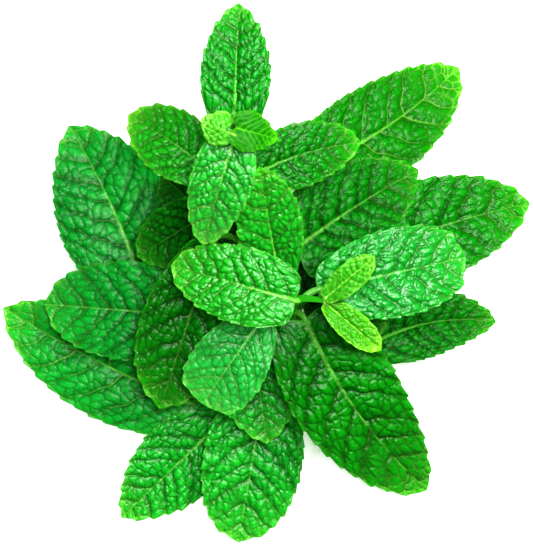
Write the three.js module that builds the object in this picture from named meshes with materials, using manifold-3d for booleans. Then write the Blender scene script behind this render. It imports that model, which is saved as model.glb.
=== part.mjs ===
// Spearmint sprig: a cut, branched stem lying on the table, with toothed leaves and two upright growing
// tips. Millimetres, +Z up. The origin is at the bottom centre of the sprig's box, on the table.
import * as THREE from "three";
import Module from "manifold-3d";
import { mergeVertices } from "three/addons/utils/BufferGeometryUtils.js";

// Leaf blades
const BLADE_THICKNESS = 0.7;
const RIB_DEPTH = 0.4; // how far the midrib stands out of the underside at the blade's base
const CUP = 0.2; // how far the margins turn down, as a share of the half width
const TOOTH_DEPTH = 0.75; // how far the notches of a full-sized margin are cut in
const TOOTH_PITCH = 4.4; // length of midrib that one tooth on each side takes up
const TOOTH_LEAN = 0.7; // how far a tooth's point leans towards the leaf's tip
const TOOTH_POINT = 0.68; // share of a tooth's length where its point stands
const FIRST_TOOTH = 0.14; // share of the blade where the teeth start and end
const LAST_TOOTH = 0.95;
const TIP_HALF_WIDTH = 0.45;
const OUTLINE_FULLNESS = 0.95; // larger values make the blade slimmer at both ends

// Leaf stalks
const STALK_HALF_WIDTH = 0.9;
const STALK_THICKNESS = 1.4;
const STALK_GAP = 0.5; // clearance between a stalk and the stem

// Stem
const STEM_HALF_SIDE = 1.7; // the lying stem's section is a square with cut corners
const SHOOT_HALF_SIDE = 1.45;
const SHOOT_TIP_HALF_SIDE = 0.75;
const CORNER_CUT = 0.3; // share of the half side
const STEM_STEP = 3.5; // spacing of the sections along a stem

// Moves the sprig so that its box is centred on the origin.
const CENTRE_SHIFT = new THREE.Vector3(-0.07, 2.28, 0);

const COLOURS = { stem: 0x7ab648, mature: 0x1f8a33, bright: 0x3fb53c, young: 0x9fd52a };

// The stem's course: each branch is a smooth line through its points, from its lower end to its tip.
const MAIN_STEM = [
  [43.1, -5.6, STEM_HALF_SIDE],
  [30.5, -10.1, STEM_HALF_SIDE],
  [15.1, -14, STEM_HALF_SIDE],
  [-1.1, -19, STEM_HALF_SIDE],
  [-10.1, -26.9, STEM_HALF_SIDE],
  [-17.1, -37.2, STEM_HALF_SIDE],
];
const SHOOT_A = [
  [-1.1, -19, STEM_HALF_SIDE],
  [-4.1, -1.7, 13],
  [-5.2, 7.4, 22],
  [-7.2, 17.6, 31.5],
  [-9, 23, 39.5],
  [-8.4, 36.4, 51],
  [-8.4, 38, 54.5],
  [-8.4, 38.2, 56.5],
];
const SHOOT_B = [
  [7.6, -16.5, STEM_HALF_SIDE],
  [6.9, -12.7, 12],
  [6.8, -10.1, 25],
  [9.6, -7.2, 37],
  [15.8, -7.5, 42],
];
const LEFT_BRANCH = [
  [-10.1, -26.9, STEM_HALF_SIDE],
  [-19.9, -16.2, STEM_HALF_SIDE],
  [-27.4, -7.8, STEM_HALF_SIDE],
];

// Where leaves join the stem, with the stem's half side there.
const JOINTS = {
  a_tip: [SHOOT_A[6], 1.25],
  a_top: [SHOOT_A[5], 1],
  a_high: [SHOOT_A[4], 1.1],
  a_middle: [SHOOT_A[3], 1.2],
  a_low: [SHOOT_A[2], 1.25],
  a_foot: [SHOOT_A[1], 1.35],
  b_tip: [SHOOT_B[4], 0.9],
  b_top: [SHOOT_B[3], 1.15],
  b_middle: [SHOOT_B[2], 1.25],
  b_foot: [SHOOT_B[1], 1.4],
  main_right: [MAIN_STEM[1], STEM_HALF_SIDE],
  main_fork: [MAIN_STEM[3], STEM_HALF_SIDE],
  main_end: [MAIN_STEM[5], STEM_HALF_SIDE],
  left_middle: [LEFT_BRANCH[1], STEM_HALF_SIDE],
  left_end: [LEFT_BRANCH[2], STEM_HALF_SIDE],
};

// Each leaf: name, joint on the stem, base and tip of the blade, full width, arch (how far the midrib
// bows up between its ends), sway (how far it bows to its left), roll (left margin up, degrees), fold (how
// far each half rises from the midrib, degrees), belly (share of the blade where it is widest) and colour.
const LEAVES = [
  ["leaf_a1", "a_top", [-8.4, 40, 51], [-7.3, 71.1, 50], 20, 2.5, 0, 0, 14, 0.36, "bright"],
  ["leaf_a2", "a_tip", [-11, 37.1, 57.7], [-17.1, 40.2, 56.9], 10.8, 0.5, 0, 0, -10, 0.48, "young"],
  ["leaf_a3", "a_tip", [-5.7, 37.2, 57.4], [3.4, 34.9, 54], 12.4, 1, 0, 0, 10, 0.4, "mature"],
  ["leaf_a4", "a_top", [-8.6, 34.6, 54.3], [-16.9, 7.2, 40], 17.8, 3, 0, 0, 12, 0.37, "bright"],
  ["leaf_a5", "a_high", [-14, 26.2, 41], [-37.3, 42.5, 30], 19.6, 3, -0.6, 0, 12, 0.46, "bright"],
  ["leaf_a6", "a_high", [-3, 26.2, 39], [25.7, 35, 31], 18.5, 3, 1.4, 8, 12, 0.4, "mature"],
  ["leaf_a7", "a_foot", [3.4, -1.6, 23], [-1.8, 28, 45.5], 19, 1, 0, 5, 12, 0.45, "mature"],
  ["leaf_b1", "b_top", [7.8, -7.6, 38.4], [-25.7, 1.8, 31], 22.2, 3, 0, -4, 12, 0.36, "bright"],
  ["leaf_b2", "b_top", [13.9, -4.8, 37.5], [54, 4, 31], 25, 3, 0, 0, 12, 0.45, "mature"],
  ["leaf_b3", "b_tip", [17.4, -5.6, 44], [28.8, 4.2, 50], 9, 1, 0, 0, 25, 0.5, "young"],
  ["leaf_b4", "b_tip", [17.4, -9.6, 43], [30.8, -20.9, 41], 9, 1, 0, 0, 15, 0.5, "young"],
  ["leaf_c1", "b_middle", [10.6, -12.9, 27], [45, -61, 0.37], 31.4, 6, -3.1, 0, 12, 0.36, "mature"],
  ["leaf_c2", "b_middle", [-1.1, -12.7, 28], [-17.5, -36, 21], 21.5, 2, 0, 0, 12, 0.45, "bright"],
  ["leaf_c3", "a_foot", [-4.4, -13.4, 16], [0.3, -47.6, 11], 25, 2, 0, 0, 12, 0.4, "mature"],
  ["leaf_c4", "main_fork", [-0.3, -30.7, 10], [-7.8, -75.6, 0.37], 29.2, 2, 0.2, -6, 12, 0.44, "mature"],
  ["leaf_c5", "main_end", [-11.5, -40.8, 6], [-40.4, -68.8, 0.37], 25.4, 1, 0, -12, 12, 0.42, "mature"],
  ["leaf_c6", "a_low", [-14.1, 7.9, 27], [-29.3, -37.8, 13], 27, 2, 0, 0, 12, 0.52, "mature"],
  ["leaf_c7", "left_middle", [-15.4, -12.4, 15], [-61.8, -8.9, 5], 29, 2, 0, 0, 12, 0.42, "mature"],
  ["leaf_c8", "main_end", [-20.8, -36.6, 6.3], [-73.6, -10, 0.37], 31, 1, 1.3, -8, 12, 0.42, "mature"],
  ["leaf_c9", "left_end", [-35, -2, 7], [-55, 40.9, 3], 34.4, 2, -1.4, 0, 12, 0.36, "mature"],
  ["leaf_c10", "a_middle", [-12.4, 18.1, 28.3], [-35.6, 4.1, 13.6], 18, -1, 0, 0, 18, 0.5, "mature"],
  ["leaf_c11", "a_middle", [9.2, 27, 19.5], [53.9, 57.2, 0.4], 28.2, 2, -2.6, 4, 12, 0.4, "mature"],
  ["leaf_c12", "a_low", [8.5, 6.6, 23], [42, 28.2, 14], 28.4, 2, 0.8, 4, 12, 0.34, "mature"],
  ["leaf_c13", "main_right", [21.9, 2.2, 9], [73.9, 19.3, 0.37], 30.4, 2, 1.6, 0, 12, 0.4, "mature"],
  ["leaf_c14", "main_right", [31.1, -19, 6], [64.4, -14, 0.37], 20.4, 1, 2.7, 0, 12, 0.32, "mature"],
  ["leaf_c15", "a_low", [-8.5, 8.4, 17.8], [-29, 27, 14.2], 23, 1, 0, 0, 12, 0.45, "mature"],
  ["leaf_c16", "b_foot", [10.4, -8, 15], [23, 14, 12], 23, 1, 0, 0, 12, 0.38, "mature"],
  ["leaf_c17", "b_foot", [11, -12.8, 11.5], [34, -14.5, 9], 19, 1, 0, 0, 12, 0.36, "mature"],
];

// The closed buds at the growing tips: centre and size.
const BUDS = [
  ["bud_a", [-8.4, 38.2, 58.6], [1.6, 1.6, 3.4]],
  ["bud_b", [19.4, -7.6, 43.6], [5, 1.5, 1.5]],
];

const UP = new THREE.Vector3(0, 0, 1);
// Where a leaf's section has points, from its right margin to its left.
const ACROSS = [-1, -0.55, 0, 0.55, 1];

const wasm = await Module();
wasm.setup();

// A closed surface through rings of points: `turned` tells for which sides of the ring the quads are split
// the other way, `cap` lists the triangles that close the first ring.
function loft(rings, turned, cap) {
  const count = rings[0].length;
  const index = [];
  for (let i = 0; i + 1 < rings.length; i++) {
    for (let k = 0; k < count; k++) {
      const a = i * count + k;
      const b = i * count + ((k + 1) % count);
      const c = b + count;
      const d = a + count;
      if (turned(k)) index.push(a, d, b, b, d, c);
      else index.push(a, c, b, a, d, c);
    }
  }
  const last = (rings.length - 1) * count;
  for (const [a, b, c] of cap) {
    index.push(a, b, c);
    index.push(last + a, last + c, last + b);
  }
  const points = rings.flat();
  const position = new THREE.Float32BufferAttribute(points.flatMap((p) => p.toArray()), 3);
  return new THREE.BufferGeometry().setAttribute("position", position).setIndex(index);
}

// Half width of a blade at share `s` of its length, as a share of the widest half width.
function outline(s, belly) {
  const rise = OUTLINE_FULLNESS * belly;
  const fall = OUTLINE_FULLNESS * (1 - belly);
  const widest = belly ** rise * (1 - belly) ** fall;
  return (s ** rise * (1 - s) ** fall) / widest;
}

// The shares of the blade where its sections lie: at each notch (false) and each tooth's point (true).
function stations(length) {
  const teeth = THREE.MathUtils.clamp(Math.round(length / TOOTH_PITCH), 4, 11);
  const pitch = (LAST_TOOTH - FIRST_TOOTH) / teeth;
  const list = [[0.05, false]];
  for (let i = 0; i < teeth; i++) {
    list.push([FIRST_TOOTH + i * pitch, false]);
    list.push([FIRST_TOOTH + (i + TOOTH_POINT) * pitch, true]);
  }
  list.push([LAST_TOOTH, false]);
  return list;
}

// One leaf: stalk, midrib and toothed blade as a single closed surface.
function leafGeometry([, joint, base, tip, width, arch, sway, roll, fold, belly]) {
  const start = new THREE.Vector3(...base);
  const end = new THREE.Vector3(...tip);
  const heading = new THREE.Vector3().subVectors(end, start).setZ(0).normalize();
  const left = new THREE.Vector3().crossVectors(UP, heading);
  const crown = new THREE.Vector3().addVectors(start, end).multiplyScalar(0.5);
  crown.addScaledVector(UP, 2 * arch).addScaledVector(left, 2 * sway);
  const midrib = new THREE.QuadraticBezierCurve3(start, crown, end);
  const length = midrib.getLength();
  const half = width / 2;
  const rollAngle = THREE.MathUtils.degToRad(roll);
  const foldAngle = THREE.MathUtils.degToRad(fold);
  const toothScale = Math.min(1, width / 20);
  const stalkScale = THREE.MathUtils.clamp(width / 16, 0.55, 1);
  const stalkHalfWidth = STALK_HALF_WIDTH * stalkScale;
  const stalkThickness = STALK_THICKNESS * stalkScale;

  // Ring of points round a section whose midrib point, direction, half width and thickness are given.
  const ring = (centre, along, reach, thickness, rib, open, lean) => {
    const side = new THREE.Vector3().crossVectors(UP, along).normalize();
    const normal = new THREE.Vector3().crossVectors(along, side);
    side.applyAxisAngle(along, rollAngle * open);
    normal.applyAxisAngle(along, rollAngle * open);
    const point = (q, offset) => {
      const d = q * reach;
      const lift = open * (Math.abs(d) * Math.sin(foldAngle) - (CUP * d * d) / half);
      const p = centre.clone().addScaledVector(side, d * Math.cos(foldAngle * open));
      p.addScaledVector(normal, lift + offset);
      return Math.abs(q) === 1 ? p.addScaledVector(along, lean) : p;
    };
    const top = ACROSS.map((q) => point(q, thickness / 2));
    const bottom = ACROSS.map((q) => point(q, -thickness / 2 - (q === 0 ? rib : 0)));
    return [...top, ...bottom.reverse()];
  };

  const rings = [];
  const [node, stemHalfSide] = JOINTS[joint];
  const foot = new THREE.Vector3(...node);
  const away = new THREE.Vector3().subVectors(start, foot).normalize();
  foot.addScaledVector(away, stemHalfSide * Math.SQRT2 + 0.6 * stalkHalfWidth + STALK_GAP);
  const first = midrib.getTangent(0);
  const bend = start.clone().addScaledVector(first, -0.5 * foot.distanceTo(start));
  const stalk = new THREE.QuadraticBezierCurve3(foot, bend, start);
  for (const t of [0, 0.5, 0.95]) {
    rings.push(ring(stalk.getPoint(t), stalk.getTangent(t), stalkHalfWidth, stalkThickness, 0, 0, 0));
  }
  for (const [s, isPoint] of stations(length)) {
    const full = half * outline(s, belly);
    const reach = Math.max(stalkHalfWidth, isPoint ? full : full - TOOTH_DEPTH * toothScale);
    const thickness = BLADE_THICKNESS + (stalkThickness - BLADE_THICKNESS) * Math.max(0, 1 - s / 0.12);
    const lean = isPoint ? TOOTH_LEAN * toothScale : 0;
    const rib = RIB_DEPTH * (1 - s);
    rings.push(ring(midrib.getPoint(s), midrib.getTangent(s), reach, thickness, rib, 1, lean));
  }
  rings.push(ring(end, midrib.getTangent(1), TIP_HALF_WIDTH, BLADE_THICKNESS, 0, 1, 0));
  const cap = [0, 1, 2, 3].flatMap((j) => [
    [j, j + 1, 8 - j],
    [j, 8 - j, 9 - j],
  ]);
  return loft(rings, (k) => k >= 5 && k < 9, cap);
}

// One branch of the stem: a square section with cut corners that tapers from its foot to its tip.
function branchGeometry(points, footHalfSide, tipHalfSide) {
  const course = new THREE.CatmullRomCurve3(points.map((p) => new THREE.Vector3(...p)));
  const steps = Math.round(course.getLength() / STEM_STEP);
  const flat = new THREE.Vector3().subVectors(course.getPoint(1), course.getPoint(0)).setZ(0).normalize();
  const across = new THREE.Vector3().crossVectors(UP, flat);
  const rings = [];
  for (let i = 0; i <= steps; i++) {
    const centre = course.getPointAt(i / steps);
    const along = course.getTangentAt(i / steps);
    const side = across.clone().addScaledVector(along, -across.dot(along)).normalize();
    const normal = new THREE.Vector3().crossVectors(along, side);
    const half = THREE.MathUtils.lerp(footHalfSide, tipHalfSide, i / steps);
    const inner = half * (1 - CORNER_CUT);
    const corners = [
      [half, -inner],
      [half, inner],
      [inner, half],
      [-inner, half],
      [-half, inner],
      [-half, -inner],
      [-inner, -half],
      [inner, -half],
    ];
    const place = ([u, v]) => centre.clone().addScaledVector(side, -u).addScaledVector(normal, v);
    rings.push(corners.map(place));
  }
  const cap = [1, 2, 3, 4, 5, 6].map((k) => [0, k, k + 1]);
  return loft(rings, () => false, cap);
}

function solidOf(geometry) {
  const merged = mergeVertices(geometry, 1e-4);
  const vertProperties = merged.attributes.position.array;
  const triVerts = new Uint32Array(merged.index.array);
  return new wasm.Manifold(new wasm.Mesh({ numProp: 3, vertProperties, triVerts }));
}

function geometryOf(solid) {
  const mesh = solid.getMesh();
  const position = new THREE.BufferAttribute(new Float32Array(mesh.vertProperties), 3);
  return new THREE.BufferGeometry().setAttribute("position", position).setIndex([...mesh.triVerts]);
}

function material(colour) {
  return new THREE.MeshStandardMaterial({ color: COLOURS[colour], roughness: 0.5, metalness: 0 });
}

const sprig = new THREE.Group();
sprig.name = "spearmint_sprig";

function addPiece(name, geometry, colour) {
  const piece = new THREE.Mesh(geometry, material(colour));
  piece.name = name;
  sprig.add(piece);
}

// The stem: the lying main stem with its two shoots and the left branch grown together.
const branches = [
  branchGeometry(MAIN_STEM, STEM_HALF_SIDE, STEM_HALF_SIDE),
  branchGeometry(SHOOT_A, SHOOT_HALF_SIDE, SHOOT_TIP_HALF_SIDE),
  branchGeometry(SHOOT_B, SHOOT_HALF_SIDE, SHOOT_TIP_HALF_SIDE),
  branchGeometry(LEFT_BRANCH, STEM_HALF_SIDE, STEM_HALF_SIDE),
];
addPiece("stem", geometryOf(branches.map(solidOf).reduce((a, b) => a.add(b))), "stem");

// Leaves
for (const leaf of LEAVES) addPiece(leaf[0], leafGeometry(leaf), leaf[10]);

// Buds
for (const [name, centre, size] of BUDS) {
  const bud = new THREE.SphereGeometry(0.5, 8, 6).scale(...size);
  bud.translate(...centre).deleteAttribute("normal").deleteAttribute("uv");
  addPiece(name, mergeVertices(bud, 1e-4), "young");
}

for (const piece of sprig.children) piece.geometry.translate(...CENTRE_SHIFT);

export default sprig;
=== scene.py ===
import math

import bmesh
import bpy
import numpy as np
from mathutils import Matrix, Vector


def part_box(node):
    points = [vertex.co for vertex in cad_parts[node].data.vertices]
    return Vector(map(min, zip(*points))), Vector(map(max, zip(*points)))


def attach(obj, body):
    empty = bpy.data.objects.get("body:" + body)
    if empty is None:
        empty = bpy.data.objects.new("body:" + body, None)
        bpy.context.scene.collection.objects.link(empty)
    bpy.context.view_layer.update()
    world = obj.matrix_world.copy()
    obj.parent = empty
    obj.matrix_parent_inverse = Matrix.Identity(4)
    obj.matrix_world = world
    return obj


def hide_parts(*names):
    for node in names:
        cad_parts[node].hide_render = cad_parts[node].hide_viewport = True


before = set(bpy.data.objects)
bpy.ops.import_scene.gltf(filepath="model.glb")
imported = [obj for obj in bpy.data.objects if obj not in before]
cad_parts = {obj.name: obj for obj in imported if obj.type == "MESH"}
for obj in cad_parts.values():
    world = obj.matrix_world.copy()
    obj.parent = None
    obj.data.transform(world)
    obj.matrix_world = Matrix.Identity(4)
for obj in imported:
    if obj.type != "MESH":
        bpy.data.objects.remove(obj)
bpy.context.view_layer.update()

# Stem: one square, soft green stem that lies down. Two leafy shoots rise from it and a short branch
# runs to the left. It grew as one piece, a little swollen where the pairs of leaves leave it, and its
# cut end shows pale, moist pith. Sizes are in millimetres.
MM = 0.001
UP = np.array((0.0, 0.0, 1.0))
CENTRE = np.array((-0.07, 2.28, 0.0))  # moves the middle of the sprig's box to the origin
MAIN_STEM = [(43.1, -5.6, 1.7), (30.5, -10.1, 1.7), (15.1, -14, 1.7), (-1.1, -19, 1.7),
             (-10.1, -26.9, 1.7), (-17.1, -37.2, 1.7)]
SHOOT_A = [(-1.1, -19, 1.7), (-4.1, -1.7, 13), (-5.2, 7.4, 22), (-7.2, 17.6, 31.5), (-9, 23, 39.5),
           (-8.4, 36.4, 51), (-8.4, 38, 54.5), (-8.4, 38.2, 56.5)]
SHOOT_B = [(7.6, -16.5, 1.7), (6.9, -12.7, 12), (6.8, -10.1, 25), (9.6, -7.2, 37), (15.8, -7.5, 42)]
LEFT_BRANCH = [(-10.1, -26.9, 1.7), (-19.9, -16.2, 1.7), (-27.4, -7.8, 1.7)]
STEM_HALF = 1.7  # half the side of the lying stem, of a shoot at its foot, and of a shoot at its tip
SHOOT_HALF = 1.45
SHOOT_TIP_HALF = 0.75
STEM_SIDES = 28
STEM_STEP = 0.55
SQUARENESS = 5.0  # 2 would be round
HOLLOW_SIDES = 0.05
JOINT_SWELL = 0.2  # how much thicker a shoot is at a joint
JOINT_REACH = 2.4
CUT_RIM = 0.35
CUT_RISE = 0.12


class Shade:
    """A shader socket that Python's own operators work on."""

    def __init__(self, tree, socket=None):
        self.tree = tree
        self.socket = socket

    def node(self, kind, settings, sockets, output=0):
        """A new node of a type, with its settings, then the values or links of its sockets."""
        made = self.tree.nodes.new(kind)
        for name, value in settings.items():
            setattr(made, name, value)
        for key, value in sockets.items():
            if isinstance(value, Shade):
                self.tree.links.new(value.socket, made.inputs[key])
            else:
                made.inputs[key].default_value = value
        return Shade(self.tree, made.outputs[output])

    def maths(self, operation, first, second):
        return self.node("ShaderNodeMath", {"operation": operation}, {0: first, 1: second})

    def __add__(self, other):
        return self.maths("ADD", self, other)

    __radd__ = __add__

    def __sub__(self, other):
        return self.maths("SUBTRACT", self, other)

    def __rsub__(self, other):
        return self.maths("SUBTRACT", other, self)

    def __mul__(self, other):
        return self.maths("MULTIPLY", self, other)

    __rmul__ = __mul__

    def mix(self, first, second, share):
        """The first colour turning into the second as share goes from 0 to 1."""
        settings = {"data_type": "RGBA", "clamp_factor": True}
        return self.node("ShaderNodeMix", settings, {0: share, 6: first, 7: second}, 2)

    def noise(self, scale, detail):
        """Soft random spots over the place that this socket holds."""
        return self.node("ShaderNodeTexNoise", {}, {"Vector": self, "Scale": scale, "Detail": detail})

    def mark(self, name):
        """A value kept on the piece's own vertices."""
        return self.node("ShaderNodeAttribute", {"attribute_name": name}, {}, "Fac")


def colour(red, green, blue):
    """A colour given as a screen shows it, as the shader takes it."""
    parts = [part / 255 for part in (red, green, blue)]
    return tuple(p / 12.92 if p < 0.04045 else ((p + 0.055) / 1.055) ** 2.4 for p in parts) + (1.0,)


def new_finish(name):
    """A material, its shader's sockets and a first socket to build its maths from."""
    made = bpy.data.materials.new(name)
    made.use_nodes = True
    shader = made.node_tree.nodes["Principled BSDF"]
    spot = Shade(made.node_tree).node("ShaderNodeTexCoord", {}, {}, "Object")
    return made, shader.inputs, spot


def feed(sockets, name, value):
    """Links what varies over the surface to one of the shader's sockets."""
    value.tree.links.new(value.socket, sockets[name])


def stem_finish(name, skin, streak, shadow):
    """Smooth, moist green skin with darker patches and fine pale streaks."""
    made, sockets, spot = new_finish(name)
    streaks = spot.noise(scale=900.0, detail=3.0)
    patches = spot.noise(scale=140.0, detail=2.0)
    tint = spot.mix(skin, shadow, patches * 0.5)
    feed(sockets, "Base Color", spot.mix(tint, streak, streaks * 0.25))
    feed(sockets, "Roughness", 0.36 + 0.2 * streaks)
    grain = spot.node("ShaderNodeBump", {}, {"Strength": 0.25, "Distance": 0.0001, "Height": streaks})
    feed(sockets, "Normal", grain)
    sockets["Specular IOR Level"].default_value = 0.35
    sockets["Subsurface Weight"].default_value = 0.1
    sockets["Subsurface Scale"].default_value = 0.001
    return made


def unit(rows):
    """The same directions, each of length 1."""
    return rows / np.maximum(np.linalg.norm(rows, axis=-1, keepdims=True), 1e-9)


def smooth_run(points, step):
    """Points along the smooth curve through the given ones, about a step apart."""
    given = np.array(points, float)
    padded = np.vstack((2 * given[0] - given[1], given, 2 * given[-1] - given[-2]))
    rows = []
    for i in range(len(given) - 1):
        p = padded[i:i + 4]
        gaps = np.sqrt(np.linalg.norm(np.diff(p, axis=0), axis=1))
        t = np.concatenate(((0.0,), np.cumsum(gaps)))
        count = max(2, round(gaps[1] ** 2 / step))
        for x in np.linspace(t[1], t[2], count, endpoint=False):
            level = [p[k] + (p[k + 1] - p[k]) * (x - t[k]) / (t[k + 1] - t[k]) for k in range(3)]
            pair = [level[k] + (level[k + 1] - level[k]) * (x - t[k]) / (t[k + 2] - t[k])
                    for k in range(2)]
            rows.append(pair[0] + (pair[1] - pair[0]) * (x - t[1]) / (t[2] - t[1]))
    return np.array(rows + [given[-1]])


def add_tube(mesh, path, section):
    """An open tube along the path. section gives each ring's offsets across and up."""
    rings, sides = section.shape[:2]
    along = unit(np.gradient(path, axis=0))
    across = np.cross(UP, along[0])
    if np.linalg.norm(across) < 0.2:
        across = np.array((1.0, 0.0, 0.0))
    grid = bmesh.ops.create_grid(mesh, x_segments=rings - 1, y_segments=sides, size=1.0)["verts"]
    places = np.zeros((rings, sides + 1, 3))
    for i in range(rings):
        across = unit(across - along[i] * np.dot(across, along[i]))
        rise = np.cross(along[i], across)
        ring = path[i] + np.outer(section[i, :, 0], across) + np.outer(section[i, :, 1], rise)
        places[i] = np.vstack((ring, ring[:1]))
    for vert in grid:
        i = round((vert.co.x + 1) / 2 * (rings - 1))
        j = round((vert.co.y + 1) / 2 * sides)
        vert.co = (places[i, j] + CENTRE) * MM
    bmesh.ops.remove_doubles(mesh, verts=grid, dist=1e-6)
    wall = {vert for vert in grid if vert.is_valid}
    open_ends = [edge for edge in mesh.edges if edge.is_boundary and edge.verts[0] in wall]
    return wall, open_ends


def square_section(halves):
    """Rings of a square stem with rounded corners and faintly hollow sides."""
    turn = np.arange(STEM_SIDES) / STEM_SIDES * 2 * math.pi
    reach = (np.abs(np.cos(turn)) ** SQUARENESS + np.abs(np.sin(turn)) ** SQUARENESS) ** (-1 / SQUARENESS)
    reach = reach * (1 - HOLLOW_SIDES * np.cos(2 * turn) ** 2)
    ring = np.stack((np.cos(turn) * reach, np.sin(turn) * reach), axis=1)
    return halves[:, None, None] * ring[None]


def add_piece(name, mesh, finishes, node):
    """Makes the worked mesh a smooth piece that stands for a node of the frame."""
    for face in mesh.faces:
        face.smooth = True
    data = bpy.data.meshes.new(name)
    mesh.to_mesh(data)
    mesh.free()
    for finish in finishes:
        data.materials.append(finish)
    piece = bpy.data.objects.new(name, data)
    bpy.context.collection.objects.link(piece)
    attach(piece, "root")
    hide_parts(node)


mesh = bmesh.new()
for points, first, last in ((MAIN_STEM, STEM_HALF, STEM_HALF), (LEFT_BRANCH, STEM_HALF, STEM_HALF),
                            (SHOOT_A, SHOOT_HALF, SHOOT_TIP_HALF), (SHOOT_B, SHOOT_HALF, SHOOT_TIP_HALF)):
    path = smooth_run(points, STEM_STEP)
    share = np.linspace(0, 1, len(path))
    near = np.min(np.linalg.norm(path[:, None] - np.array(points, float)[None, 1:-1], axis=2), axis=1)
    halves = (first + (last - first) * share) * (1 + JOINT_SWELL * np.exp(-(near / JOINT_REACH) ** 2))
    if first == STEM_HALF:
        halves = np.minimum(halves, STEM_HALF)  # the lying stem stays on the floor
    add_tube(mesh, path, square_section(halves))
ends = bmesh.ops.holes_fill(mesh, edges=mesh.edges[:], sides=0)["faces"]
bmesh.ops.inset_region(mesh, faces=ends, thickness=CUT_RIM * MM, depth=CUT_RISE * MM)
for face in ends:
    face.material_index = 1
bmesh.ops.recalc_face_normals(mesh, faces=mesh.faces[:])
stem_skin = stem_finish("stem_skin", colour(56, 184, 28), colour(98, 202, 58), colour(28, 138, 14))
stem_cut = stem_finish("stem_cut", colour(196, 220, 150), colour(214, 228, 176), colour(150, 186, 104))
add_piece("sprig_stem", mesh, (stem_skin, stem_cut), "stem")

# Leaves: thin, quilted blades with saw-toothed edges, each grown on a short stalk from a joint of the
# stem. The side veins run forward in grooves, a net of fine veins parts the skin between them into small
# puffed cells, and the midrib stands pale in its own groove.
BLADE = 0.32  # thickness
TOP_LIFT = 0.12  # of the upper skin above the midrib's line
CUP = 0.2  # how far the edges turn down, as a share of the half width
TOOTH_DEPTH = 0.62
TOOTH_PITCH = 4.4  # length of blade that one tooth takes up
TOOTH_LEAN = 0.75  # how far a tooth leans towards the leaf's tip
TOOTH_PEAK = 0.72  # share of a tooth's length where it is highest
FIRST_TOOTH = 0.14  # share of the blade where the teeth start, and where they end
LAST_TOOTH = 0.95
FULLNESS = 0.95  # larger values make the blade slimmer at both ends
TIP_SLOPE = 1.5  # how steeply the blade closes at its tip
LOBE = 0.5  # how far the base reaches back beside the stalk, as a share of its half width
NARROW_LOBE = 0.28
LOBE_REACH = 0.22  # share of the blade that the lobes take up
GRAIN = 0.25  # spacing of the mesh
SIDE_VEINS = 7.5  # on each side of the midrib
LEAST_SPACING = 1.5
STRIP_RISE = 0.09  # swell of the skin between side veins, as a share of their spacing
GROOVE_DEPTH = 0.16
CELL_SHARE = 0.07  # how much a puffed cell grows with the leaf's width
LEAST_CELL = 0.9
CELL_RISE = 0.46
CRINKLE_RISE = 0.15
RIB_RISE = 0.34
VALLEY_DEPTH = 0.42
EDGE_WAVE = 0.35
STALK_HALF = 0.9
STALK_FLATNESS = 0.72  # height as a share of width
STALK_SIDES = 12
STALK_RINGS = 22
BACK_RINGS = 39  # of the midrib's raised back
BACK_REACH = 0.72  # share of the blade that it runs along
# Where leaves join the stem, and the stem's half width there.
JOINTS = {
    "a_tip": (SHOOT_A[6], 1.0), "a_top": (SHOOT_A[5], 1.0), "a_high": (SHOOT_A[4], 1.1),
    "a_middle": (SHOOT_A[3], 1.2), "a_low": (SHOOT_A[2], 1.25), "a_foot": (SHOOT_A[1], 1.35),
    "b_tip": (SHOOT_B[4], 0.9), "b_top": (SHOOT_B[3], 1.1), "b_middle": (SHOOT_B[2], 1.25),
    "b_foot": (SHOOT_B[1], 1.4), "main_right": (MAIN_STEM[1], 1.7), "main_fork": (MAIN_STEM[3], 1.7),
    "main_end": (MAIN_STEM[5], 1.7), "left_middle": (LEFT_BRANCH[1], 1.7), "left_end": (LEFT_BRANCH[2], 1.7),
}
# How far some blades reach back along their stalks, so that they sit close to the stem.
SITTING = {"a2": 2.4, "a3": 2.6, "a4": 0.8, "b3": 2.2, "b4": 2.2, "c8": 1.2}
# How pointed the end of some leaves is: below 1 it is blunter than usual, above 1 sharper.
POINTED = {"b1": 0.85, "b2": 0.7, "c2": 0.55, "c4": 0.85, "c7": 0.85, "c8": 1.1, "a3": 1.2, "c5": 1.1}
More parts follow.
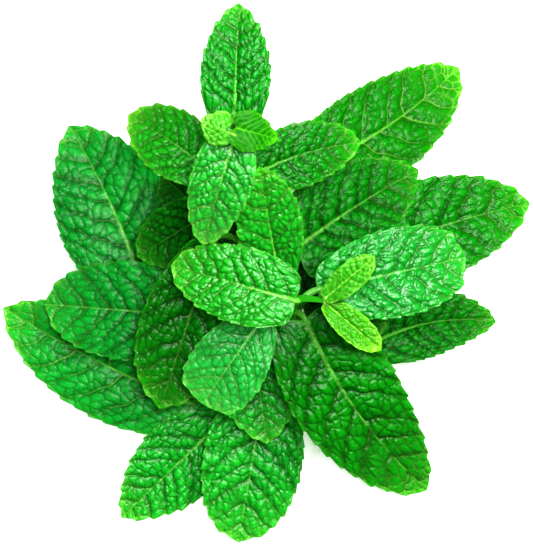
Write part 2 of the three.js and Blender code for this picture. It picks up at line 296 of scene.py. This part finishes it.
# Each leaf: its name and joint, the base and tip of its blade, full width, arch (how far the midrib bows
# up), sway (how far it bows to its left), roll (left edge up, in degrees), fold (how far each half rises
# from the midrib, in degrees), belly (share of the length where it is widest), finish and slot.
LEAVES = [
    ("a1", "a_top", (-8.4, 40, 51), (-7.3, 71.1, 50), 20, 2.5, 0, 0, 14, 0.36, "mature", "bright"),
    ("a2", "a_tip", (-11, 37.1, 57.7), (-17.1, 40.2, 56.9), 10.8, 0.5, 0, 0, -10, 0.48, "tender", "young"),
    ("a3", "a_tip", (-5.7, 37.2, 57.4), (3.4, 34.9, 54), 12.4, 1, 0, 0, 10, 0.4, "netted", "mature"),
    ("a4", "a_top", (-8.6, 34.6, 54.3), (-16.9, 7.2, 40), 17.8, 3, 0, 0, 12, 0.37, "mint", "bright"),
    ("a5", "a_high", (-14, 26.2, 41), (-37.3, 42.5, 30), 19.6, 3, -0.6, 0, 12, 0.46, "tipped", "bright"),
    ("a6", "a_high", (-3, 26.2, 39), (25.7, 35, 31), 18.5, 3, 1.4, 8, 12, 0.4, "deep", "mature"),
    ("a7", "a_foot", (3.4, -1.6, 23), (-1.8, 28, 45.5), 19, 1, 0, 5, 12, 0.45, "bright", "mature"),
    ("b1", "b_top", (7.8, -7.6, 38.4), (-25.7, 1.8, 31), 22.2, 3, 0, -4, 12, 0.36, "bright", "bright"),
    ("b2", "b_top", (13.9, -4.8, 37.5), (54, 4, 31), 25, 3, 0, 0, 12, 0.45, "fresh", "mature"),
    ("b3", "b_tip", (17.4, -5.6, 44), (28.8, 4.2, 50), 9, 1, 0, 0, 25, 0.5, "tender", "young"),
    ("b4", "b_tip", (17.4, -9.6, 43), (30.8, -20.9, 41), 9, 1, 0, 0, 15, 0.5, "young", "young"),
    ("c1", "b_middle", (10.6, -12.9, 27), (45, -61, 0.37), 31.4, 6, -3.1, 0, 12, 0.36, "deep", "mature"),
    ("c2", "b_middle", (-1.1, -12.7, 28), (-17.5, -36, 21), 21.5, 2, 0, 0, 12, 0.45, "light", "bright"),
    ("c3", "a_foot", (-4.4, -13.4, 16), (0.3, -47.6, 11), 25, 2, 0, 0, 12, 0.4, "lit", "mature"),
    ("c4", "main_fork", (-0.3, -30.7, 10), (-7.8, -75.6, 0.37), 29.2, 2, 0.2, -6, 12, 0.44, "lit", "mature"),
    ("c5", "main_end", (-11.5, -40.8, 6), (-40.4, -68.8, 0.37), 25.4, 1, 0, -12, 12, 0.42, "lit", "mature"),
    ("c6", "a_low", (-14.1, 7.9, 27), (-29.3, -37.8, 13), 27, 2, 0, 0, 12, 0.52, "deep", "mature"),
    ("c7", "left_middle", (-15.4, -12.4, 15), (-61.8, -8.9, 5), 29, 2, 0, 0, 12, 0.42, "cool", "mature"),
    ("c8", "main_end", (-20.8, -36.6, 6.3), (-73.6, -10, 0.37), 31, 1, 1.3, -8, 12, 0.42, "soft", "mature"),
    ("c9", "left_end", (-35, -2, 7), (-55, 40.9, 3), 34.4, 2, -1.4, 0, 12, 0.36, "cool", "mature"),
    ("c10", "a_middle", (-12.4, 18.1, 28.3), (-35.6, 4.1, 13.6), 18, -1, 0, 0, 18, 0.5, "dim", "mature"),
    ("c11", "a_middle", (9.2, 27, 19.5), (53.9, 57.2, 0.4), 28.2, 2, -2.6, 4, 12, 0.4, "veined", "mature"),
    ("c12", "a_low", (8.5, 6.6, 23), (42, 28.2, 14), 28.4, 2, 0.8, 4, 12, 0.34, "dim", "mature"),
    ("c13", "main_right", (21.9, 2.2, 9), (73.9, 19.3, 0.37), 30.4, 2, 1.6, 0, 12, 0.4, "deep", "mature"),
    ("c14", "main_right", (31.1, -19, 6), (64.4, -14, 0.37), 20.4, 1, 2.7, 0, 12, 0.32, "dim", "mature"),
    ("c15", "a_low", (-8.5, 8.4, 17.8), (-29, 27, 14.2), 23, 1, 0, 0, 12, 0.45, "shaded", "mature"),
    ("c16", "b_foot", (10.4, -8, 15), (23, 14, 12), 23, 1, 0, 0, 12, 0.38, "shaded", "mature"),
    ("c17", "b_foot", (11, -12.8, 11.5), (34, -14.5, 9), 19, 1, 0, 0, 12, 0.36, "dim", "mature"),
]
# Each finish: the colours of the face, groove (painted shade, except in the netted and tender finishes,
# where it is the net's own paler tint), vein and edge, how much of the groove colour the net takes, the pale
# side veins and the yellow edge, how strongly the skin is quilted, and how much it shines.
# Besides each leaf's own tone, the face greens hold painted light and shade. Lit is a lighter copy for
# leaves in full light, and dim and shaded are darker copies for leaves lying in the shade of others.
FINISHES = {
    "bright": ((24, 166, 38), (0, 80, 8), (136, 206, 84), (90, 200, 30), 1.0, 0.35, 0.5, 1.0, 1.0),
    "mint": ((44, 178, 60), (0, 84, 14), (150, 212, 104), (90, 200, 40), 1.0, 0.35, 0.5, 1.0, 1.0),
    "tipped": ((8, 170, 32), (0, 74, 8), (124, 200, 80), (130, 204, 40), 1.0, 0.2, 0.75, 1.0, 0.5),
    "fresh": ((18, 149, 48), (0, 78, 12), (136, 206, 96), (70, 190, 34), 1.0, 0.15, 0.3, 1.0, 1.0),
    "lit": ((18, 169, 46), (0, 70, 10), (124, 200, 84), (90, 190, 30), 1.0, 0.12, 0.5, 1.0, 0.65),
    "mature": ((4, 144, 28), (0, 60, 6), (120, 196, 80), (70, 180, 24), 1.0, 0.1, 0.45, 1.0, 0.55),
    "veined": ((0, 121, 8), (0, 58, 2), (130, 204, 74), (90, 190, 28), 0.95, 0.4, 0.55, 0.8, 0.4),
    "cool": ((14, 158, 57), (0, 62, 12), (130, 202, 92), (70, 180, 34), 1.0, 0.12, 0.35, 0.64, 0.36),
    "soft": ((14, 165, 58), (0, 70, 14), (130, 206, 80), (90, 190, 30), 0.95, 0.45, 0.5, 0.58, 0.36),
    "light": ((40, 171, 72), (2, 88, 20), (140, 212, 110), (90, 196, 40), 1.0, 0.3, 0.5, 0.65, 0.65),
    "deep": ((0, 128, 14), (0, 46, 0), (110, 176, 70), (70, 180, 20), 1.0, 0.08, 0.55, 0.9, 0.45),
    "dim": ((0, 117, 14), (0, 38, 0), (100, 164, 64), (60, 160, 20), 1.0, 0.06, 0.45, 0.9, 0.28),
    "shaded": ((0, 88, 8), (0, 28, 0), (80, 140, 56), (40, 120, 16), 1.0, 0.03, 0.3, 0.8, 0.2),
    "netted": ((0, 88, 0), (34, 130, 10), (100, 184, 40), (90, 194, 24), 0.4, 0.22, 0.4, 0.35, 0.15),
    "young": ((58, 162, 10), (6, 96, 0), (170, 226, 80), (136, 210, 36), 0.7, 0.25, 0.5, 1.8, 0.6),
    "tender": ((40, 144, 25), (78, 167, 40), (164, 220, 94), (110, 196, 46), 0.6, 0.25, 0.5, 1.6, 0.6),
}


def leaf_finish(name, face, groove, vein, edge, net_shade_share, pale_share, edge_share, shine):
    """The upper skin: puffed cells lighter than their grooves, where shade is painted in, pale veins, a
    yellower edge and tip.
    """
    made, sockets, spot = new_finish(name)
    patches = spot.noise(scale=170.0, detail=2.0)
    fine = spot.noise(scale=2600.0, detail=2.0)
    net, rim = spot.mark("net"), spot.mark("rim")
    # Painted shade: the valleys between puffed cells take the darker groove colour and the cell tops take
    # the face colour. In the netted and tender finishes the groove colour is the paler one, the net's own
    # tint.
    tint = spot.mix(groove, face, spot.mark("puff_shade"))
    tint = spot.mix(tint, edge, 0.12 * patches)
    tint = spot.mix(tint, edge, rim * rim * edge_share)
    # More painted shade along the net of fine veins and in the side veins' grooves. It fades near the rim,
    # where the net turns pale.
    tint = spot.mix(tint, groove, net * net_shade_share * (1 - 0.8 * rim))
    tint = spot.mix(tint, vein, 2.0 * edge_share * net * rim)
    tint = spot.mix(tint, vein, spot.mark("branch") * pale_share)
    tint = spot.mix(tint, vein, spot.mark("rib") * 0.7)
    feed(sockets, "Base Color", tint)
    feed(sockets, "Roughness", 0.29 + 0.15 * fine)
    grain = spot.node("ShaderNodeBump", {}, {"Strength": 0.6, "Distance": 0.00014, "Height": fine})
    feed(sockets, "Normal", grain)
    sockets["Specular IOR Level"].default_value = shine
    sockets["Subsurface Weight"].default_value = 0.06
    sockets["Subsurface Scale"].default_value = 0.0006
    return made


def underside_finish():
    """The lower skin: paler and duller, with its veins raised and nearly white."""
    made, sockets, spot = new_finish("leaf_underside")
    patches = spot.noise(scale=240.0, detail=3.0)
    tint = spot.mix(colour(112, 172, 96), colour(142, 190, 120), patches)
    tint = spot.mix(tint, colour(170, 208, 140), spot.mark("net") * 0.35)
    feed(sockets, "Base Color", spot.mix(tint, colour(196, 222, 160), spot.mark("rib") * 0.8))
    feed(sockets, "Roughness", 0.55 + 0.2 * patches)
    sockets["Specular IOR Level"].default_value = 0.25
    return made


def ease(value):
    """From 0 to 1 with a soft start and a soft end."""
    value = np.clip(value, 0, 1)
    return value * value * (3 - 2 * value)


def bezier(first, bend, last, s):
    """Points at shares s of a curve that is drawn towards bend, and its directions there."""
    s = s[:, None]
    place = (1 - s) ** 2 * first + 2 * s * (1 - s) * bend + s ** 2 * last
    return place, unit(2 * (1 - s) * (bend - first) + 2 * s * (last - bend))


def cells(across, along, dice):
    """Distance to the nearest edge between irregular cells of about size 1, and each cell's plumpness."""
    jitter = dice.uniform(0.1, 0.9, (64, 64, 2))
    size = dice.uniform(0.55, 1.25, (64, 64))
    column, row = np.floor(across).astype(int), np.floor(along).astype(int)
    nearest, second = np.full(across.shape, 9e9), np.full(across.shape, 9e9)
    plump = np.ones(across.shape)
    for i in (-1, 0, 1):
        for j in (-1, 0, 1):
            c, r = column + i, row + j
            shift = jitter[c % 64, r % 64]
            away = np.hypot(c + shift[:, 0] - across, r + shift[:, 1] - along)
            closer = away < nearest
            second = np.where(closer, nearest, np.minimum(second, away))
            plump = np.where(closer, size[c % 64, r % 64], plump)
            nearest = np.where(closer, away, nearest)
    return (second - nearest) / 2, plump


def leaf_outline(s, belly, pointed, half, length, scale):
    """Half width of the smooth leaf at s, and how much of a tooth stands out there, 0 to 1."""
    grow, shrink = FULLNESS * belly, FULLNESS * (1 - belly) * pointed
    at = np.clip(s, 1e-6, 1 - 1e-6)
    width = half * (at / belly) ** grow * ((1 - at) / (1 - belly)) ** shrink
    width = width / (1 + (width / (TIP_SLOPE / pointed ** 2 * length * (1 - at))) ** 4) ** 0.25
    teeth = min(max(round(length / TOOTH_PITCH), 4), 11)
    step = (LAST_TOOTH - FIRST_TOOTH) / teeth
    count = np.clip((s - FIRST_TOOTH) / step, 0, teeth - 1e-6)
    phase = count % 1
    tooth = np.where(phase < TOOTH_PEAK, (phase / TOOTH_PEAK) ** 0.9, (1 - phase) / (1 - TOOTH_PEAK))
    tooth = tooth * (0.85 + 0.15 * np.cos(2.4 * np.floor(count)))
    tooth = np.where(s < FIRST_TOOTH, ease((FIRST_TOOTH - s) / FIRST_TOOTH), tooth)
    tooth = np.where(s > LAST_TOOTH, ease((s - LAST_TOOTH) / (1 - LAST_TOOTH)), tooth)
    return np.maximum(width, STALK_HALF * 0.6 * scale * (s < 0.5)), tooth


def quilted_skin(s, d, to_edge, half, length, quilting, dice):
    """How far the skin rises at each point, and the marks that its finish reads there. s runs from the
    blade's base to its tip, and d is how far the point lies to the left or right of the midrib."""
    width = 2 * half
    x, y = s * length, np.abs(d)
    outward = np.clip(y / half, 0, 1)
    fade = ease(to_edge / 0.7) * ease((1 - s) / 0.03) * ease(s / 0.05)

    # Side veins leave the midrib at about 50 degrees and bend forward to the edge.
    spacing = max(length / SIDE_VEINS, LEAST_SPACING)
    start = np.where(d > 0, dice.uniform(0, 0.4), dice.uniform(0.3, 0.8))
    wander = 0.35 * np.sin(y * 0.8 + start * 9) * np.sin(x * 0.3 + 3 * start)
    wander = wander + 0.25 * np.sin(x * 0.5 + y * 0.7)
    phase = (x - 0.5 * y - 0.45 * y * y / half + wander) / spacing + start
    phase = phase + 0.11 * np.sin(2.3 * phase + 9 * start) + 0.07 * np.sin(4.1 * phase + 5 * start)
    from_vein = np.abs((phase + 0.5) % 1 - 0.5) * spacing * 0.74
    strip = 1 - (1 - np.clip(from_vein / (0.37 * spacing), 0, 1)) ** 2.2
    groove = np.exp(-(from_vein / 0.2) ** 2) * (1 - 0.7 * outward)

    # The finest veins part the skin between them into puffed cells, and each cell is crinkled again.
    cell = CELL_SHARE * width + LEAST_CELL
    shift = 40 * (d > 0)
    bent = x + 0.3 * cell * np.sin(2.1 * y / cell + 7 * start) + 0.2 * cell * np.sin(1.3 * x / cell)
    from_net, plump = cells(bent / cell + shift, y * (1 + 0.2 * outward) / cell, dice)
    from_net = from_net * cell
    dome = 1 - (1 - np.clip(from_net / (0.46 * cell), 0, 1)) ** 2
    crinkle = np.clip(cells(x / (0.4 * cell) + shift, y / (0.4 * cell), dice)[0] / 0.35, 0, 1)
    rise = STRIP_RISE * spacing * (strip - 0.7) * (1 - 0.5 * outward ** 2) - GROOVE_DEPTH * groove
    rise = fade * (rise + CELL_RISE * (dome * plump - 0.6) + CRINKLE_RISE * (crinkle - 0.6))

    # The midrib stands up in its own valley, and the edges are waved.
    valley = np.exp(-(y / (0.05 * width)) ** 2) * ease(s / 0.05) * (1 - s) ** 0.4
    rib_half = width * (0.006 + 0.018 * (1 - s) ** 3)
    rib = np.exp(-(y / rib_half) ** 2)
    rise = quilting * (rise + RIB_RISE * rib * (1 - s) - VALLEY_DEPTH * valley)
    wave = EDGE_WAVE * np.sin(x * 0.75 + 5 * start) * ease(s / 0.15) * ease((1 - s) / 0.15) * (y / half) ** 2

    rim = np.clip(0.95 * np.exp(-to_edge / 0.8) + 0.8 * s ** 5, 0, 1)
    net = (0.6 + 0.3 * rim) * np.exp(-(from_net / (0.12 + 0.12 * rim)) ** 2)
    # Painted shade: the first mark is high on the cell tops, which the finish paints in the face colour, and
    # low in the valleys, which take the darker groove colour. The net mark lays more painted shade along the
    # grooves of the fine and side veins.
    marks = {
        "puff_shade": np.clip(0.1 + 0.45 * strip + 0.3 * dome + 0.2 * crinkle - 0.25 * valley, 0, 1),
        "net": fade * np.maximum(groove, net),
        "rim": rim,
        "rib": rib * (1 - 0.6 * s),
        "branch": np.exp(-(from_vein / 0.13) ** 2) * ease(to_edge / (0.6 * half)) * ease(y / 0.4),
    }
    return rise + wave, marks


def add_stalk(mesh, joint, base, crown, tip, scale, drop):
    """The stalk: from inside the stem to the blade, then on below it as the midrib's raised back."""
    knot, stem_half = np.array(JOINTS[joint][0], float), JOINTS[joint][1]
    foot = knot + unit((base - knot) * (1, 1, 0.2)) * stem_half * 0.6
    heading = bezier(base, crown, tip, np.zeros(1))[1][0]
    bend = base - heading * 0.5 * np.linalg.norm(base - foot)
    stalk = bezier(foot, bend, base, np.linspace(0, 1, STALK_RINGS))[0]
    s = np.linspace(0, BACK_REACH, BACK_RINGS + 1)[1:]
    back, along = bezier(base, crown, tip, s)
    normal = np.cross(along, unit(np.cross(UP, along)))
    back = back - normal * ease(s / 0.06)[:, None] * drop
    halves = STALK_HALF * scale * np.concatenate((np.ones(STALK_RINGS), (1 - s / 0.74) ** 0.8))
    turn = np.arange(STALK_SIDES) / STALK_SIDES * 2 * math.pi
    ring = np.stack((np.cos(turn), STALK_FLATNESS * np.sin(turn)), axis=1)
    blade = set(mesh.faces)
    wall, open_ends = add_tube(mesh, np.vstack((stalk, back)), halves[:, None, None] * ring[None])
    bmesh.ops.holes_fill(mesh, edges=open_ends, sides=0)
    # The stalk and the midrib's back take the pale rib colour and only a little of the painted groove shade.
    rib, puff_shade = mesh.verts.layers.float["rib"], mesh.verts.layers.float["puff_shade"]
    for vert in wall:
        vert[rib] = 0.75
        vert[puff_shade] = 0.8
    bmesh.ops.recalc_face_normals(mesh, faces=[face for face in mesh.faces if face not in blade])


def make_leaf(number, name, joint, base, tip, width, arch, sway, roll, fold, belly, finish, slot):
    """One leaf: its quilted upper skin, its lower skin and its stalk."""
    dice = np.random.default_rng(100 + number)
    base, tip = np.array(base, float), np.array(tip, float)
    heading = unit((tip - base) * (1, 1, 0))
    base = base - heading * SITTING.get(name, 0.0)
    crown = (base + tip) / 2 + UP * 2 * arch + np.cross(UP, heading) * 2 * sway
    half, length = width / 2, float(np.linalg.norm(tip - base))
    lean, crease = math.radians(roll), math.radians(fold)
    tooth_scale, stalk_scale = min(1, width / 20), min(max(width / 16, 0.55), 1)
    quilting = FINISHES[finish][-2] * min(1.0, 0.3 + width / 36)

    # The upper skin: a fine flat grid that takes the leaf's outline, teeth and relief, then its place.
    mesh = bmesh.new()
    rows, columns = round(length * 1.06 / GRAIN), round(width / GRAIN)
    bmesh.ops.create_grid(mesh, x_segments=rows, y_segments=columns, size=1.0)
    flat = np.array([vert.co[:2] for vert in mesh.verts])
    s, q = (flat[:, 0] + 1) / 2, flat[:, 1]
    smooth, tooth = leaf_outline(s, belly, POINTED.get(name, 1.0), half, length, stalk_scale)
    hem = np.abs(q) ** 5
    notch = TOOTH_DEPTH * tooth_scale * (1 - tooth) * np.minimum(1, smooth / (0.5 * half))
    d = q * (smooth - notch * hem)
    y = np.abs(d)
    relief, marks = quilted_skin(s, d, smooth - y, half, length, quilting, dice)
    middle, along = bezier(base, crown, tip, s)
    side = unit(np.cross(UP, along))
    normal = np.cross(along, side)
    side, normal = (side * math.cos(lean) + normal * math.sin(lean),
                    normal * math.cos(lean) - side * math.sin(lean))
    rise = y * math.sin(crease) - CUP * d * d / half + relief + TOP_LIFT
    lobe = NARROW_LOBE if joint == "b_top" else LOBE
    forward = TOOTH_LEAN * tooth_scale * tooth * hem * (s < LAST_TOOTH)
    forward = forward - lobe * y * ease(1 - s / LOBE_REACH)
    place = middle + side * (d * math.cos(crease))[:, None] + normal * rise[:, None]
    place = ((place + along * forward[:, None] + CENTRE) * MM).tolist()
    layers = [(mesh.verts.layers.float.new(mark), values.tolist()) for mark, values in marks.items()]
    below, down = mesh.verts.layers.float_vector.new("below"), (normal * (-BLADE * MM)).tolist()
    for i, vert in enumerate(mesh.verts):
        vert.co = place[i]
        vert[below] = down[i]
        for layer, values in layers:
            vert[layer] = values[i]

    # The lower skin: the upper one again, a blade's thickness further down.
    everything = mesh.verts[:] + mesh.edges[:] + mesh.faces[:]
    for part in bmesh.ops.extrude_face_region(mesh, geom=everything, use_keep_orig=True)["geom"]:
        if isinstance(part, bmesh.types.BMVert):
            part.co = part.co + part[below]
        elif isinstance(part, bmesh.types.BMFace):
            part.material_index = 1
    mesh.verts.layers.float_vector.remove(below)
    bmesh.ops.recalc_face_normals(mesh, faces=mesh.faces[:])
    add_stalk(mesh, joint, base, crown, tip, stalk_scale, BLADE + VALLEY_DEPTH * quilting)
    add_piece("mint_leaf_" + name, mesh, (leaf_skins[finish], leaf_back), "leaf_" + name)


leaf_skins = {}
for name, (*colours, net_shade_share, pale_share, edge_share, quilting, shine) in FINISHES.items():
    paints = [colour(*parts) for parts in colours]
    leaf_skins[name] = leaf_finish("leaf_" + name, *paints, net_shade_share, pale_share, edge_share, shine)
leaf_back = underside_finish()
for number, row in enumerate(LEAVES):
    make_leaf(number, *row)

# Buds: the smallest leaves at the two growing tips, still closed round each other like scales. They
# are soft yellow-green and sit on the ends of the two shoots, one upright and one lying over.
SCALES = 5
SCALE_ROWS = 22
SCALE_COLUMNS = 12
SCALE_INSIDE = 0.86
for name, axis in (("bud_a", 2), ("bud_b", 0)):
    low, high = (np.array(corner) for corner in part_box(name))
    middle, reach = (low + high) / 2, (high - low) / 2
    across, up = [k for k in range(3) if k != axis]
    mesh = bmesh.new()
    for k in range(SCALES):
        height = 1.96 * (0.86 + 0.14 * math.cos(k * 2.4))
        fullness = 0.8 + 0.08 * (k % 2)
        scale = bmesh.ops.create_grid(mesh, x_segments=SCALE_ROWS, y_segments=SCALE_COLUMNS, size=1.0)
        for vert in scale["verts"]:
            s, q = (vert.co.x + 1) / 2, vert.co.y
            turn = k * 2 * math.pi / SCALES + q * 0.95 * math.sin(math.pi * (0.12 + 0.88 * s)) ** 0.7
            swell = math.sin(math.pi * (0.1 + 0.86 * s)) ** 0.6 * (fullness - 0.06 * q * q)
            vert.co[axis] = middle[axis] + reach[axis] * (height * s - 1)
            vert.co[across] = middle[across] + reach[across] * swell * math.cos(turn)
            vert.co[up] = middle[up] + reach[up] * swell * math.sin(turn)
    everything = mesh.verts[:] + mesh.edges[:] + mesh.faces[:]
    for part in bmesh.ops.extrude_face_region(mesh, geom=everything, use_keep_orig=True)["geom"]:
        if isinstance(part, bmesh.types.BMVert):
            for k in (across, up):
                part.co[k] = middle[k] + (part.co[k] - middle[k]) * SCALE_INSIDE
    bmesh.ops.recalc_face_normals(mesh, faces=mesh.faces[:])
    add_piece("tip_" + name, mesh, (leaf_skins["young"],), name)

# Floor, light and camera: a plain white sheet under soft lamps, the brightest of them overhead and from the
# right, seen from straight above. The sheet also glows faintly, a painted light that washes out the shadows
# on it. Sizes are in metres.
FLOOR_HALF = 2.5
mesh = bmesh.new()
bmesh.ops.create_grid(mesh, x_segments=2, y_segments=2, size=FLOOR_HALF)
data = bpy.data.meshes.new("floor")
mesh.to_mesh(data)
mesh.free()
floor_paint, sockets, spot = new_finish("floor_paint")
mottle = spot.noise(scale=6.0, detail=2.0)
feed(sockets, "Base Color", spot.mix(colour(250, 250, 250), colour(246, 246, 246), mottle))
sockets["Roughness"].default_value = 0.8
sockets["Specular IOR Level"].default_value = 0.1
# Painted light: the floor glows faintly, so that shadows on it wash out to white.
sockets["Emission Color"].default_value = (1.0, 1.0, 1.0, 1.0)
sockets["Emission Strength"].default_value = 0.3
data.materials.append(floor_paint)
floor = bpy.data.objects.new("floor", data)
bpy.context.collection.objects.link(floor)
floor.visible_glossy = False

# Each lamp: its name, place, size and power, and whether the leaves reflect it.
LAMPS = [("key_lamp", (0.15, 0.15, 0.95), 0.4, 8.0, True),
         ("right_lamp", (0.6, 0.4, 0.65), 0.3, 10.0, False),
         ("left_lamp", (-0.6, -0.35, 0.7), 0.4, 2.5, False)]
for name, place, size, power, reflected in LAMPS:
    lamp_data = bpy.data.lights.new(name, "AREA")
    lamp_data.size = size
    lamp_data.energy = power
    lamp = bpy.data.objects.new(name, lamp_data)
    lamp.location = place
    lamp.rotation_euler = (-lamp.location).to_track_quat("-Z", "Y").to_euler()
    lamp.visible_glossy = reflected
    bpy.context.collection.objects.link(lamp)
sky = bpy.data.worlds.new("soft_sky")
sky.use_nodes = True
sky.node_tree.nodes["Background"].inputs["Color"].default_value = (1.0, 1.0, 1.0, 1.0)
sky.node_tree.nodes["Background"].inputs["Strength"].default_value = 0.1
sky.cycles_visibility.glossy = False
bpy.context.scene.world = sky
bpy.context.scene.view_settings.view_transform = "Standard"
bpy.context.scene.view_settings.look = "High Contrast"

CAMERA_SPOT = (0.00007, 0.00214)
CAMERA_HEIGHT = 0.9
PHOTO_WIDTH = 0.14924
SENSOR_WIDTH = 36.0
camera_data = bpy.data.cameras.new("camera")
camera_data.sensor_fit = "HORIZONTAL"
camera_data.sensor_width = SENSOR_WIDTH
camera_data.lens = SENSOR_WIDTH * CAMERA_HEIGHT / PHOTO_WIDTH
camera_data.clip_end = 20.0
camera = bpy.data.objects.new("camera", camera_data)
camera.location = (*CAMERA_SPOT, CAMERA_HEIGHT)
bpy.context.collection.objects.link(camera)
bpy.context.scene.camera = camera
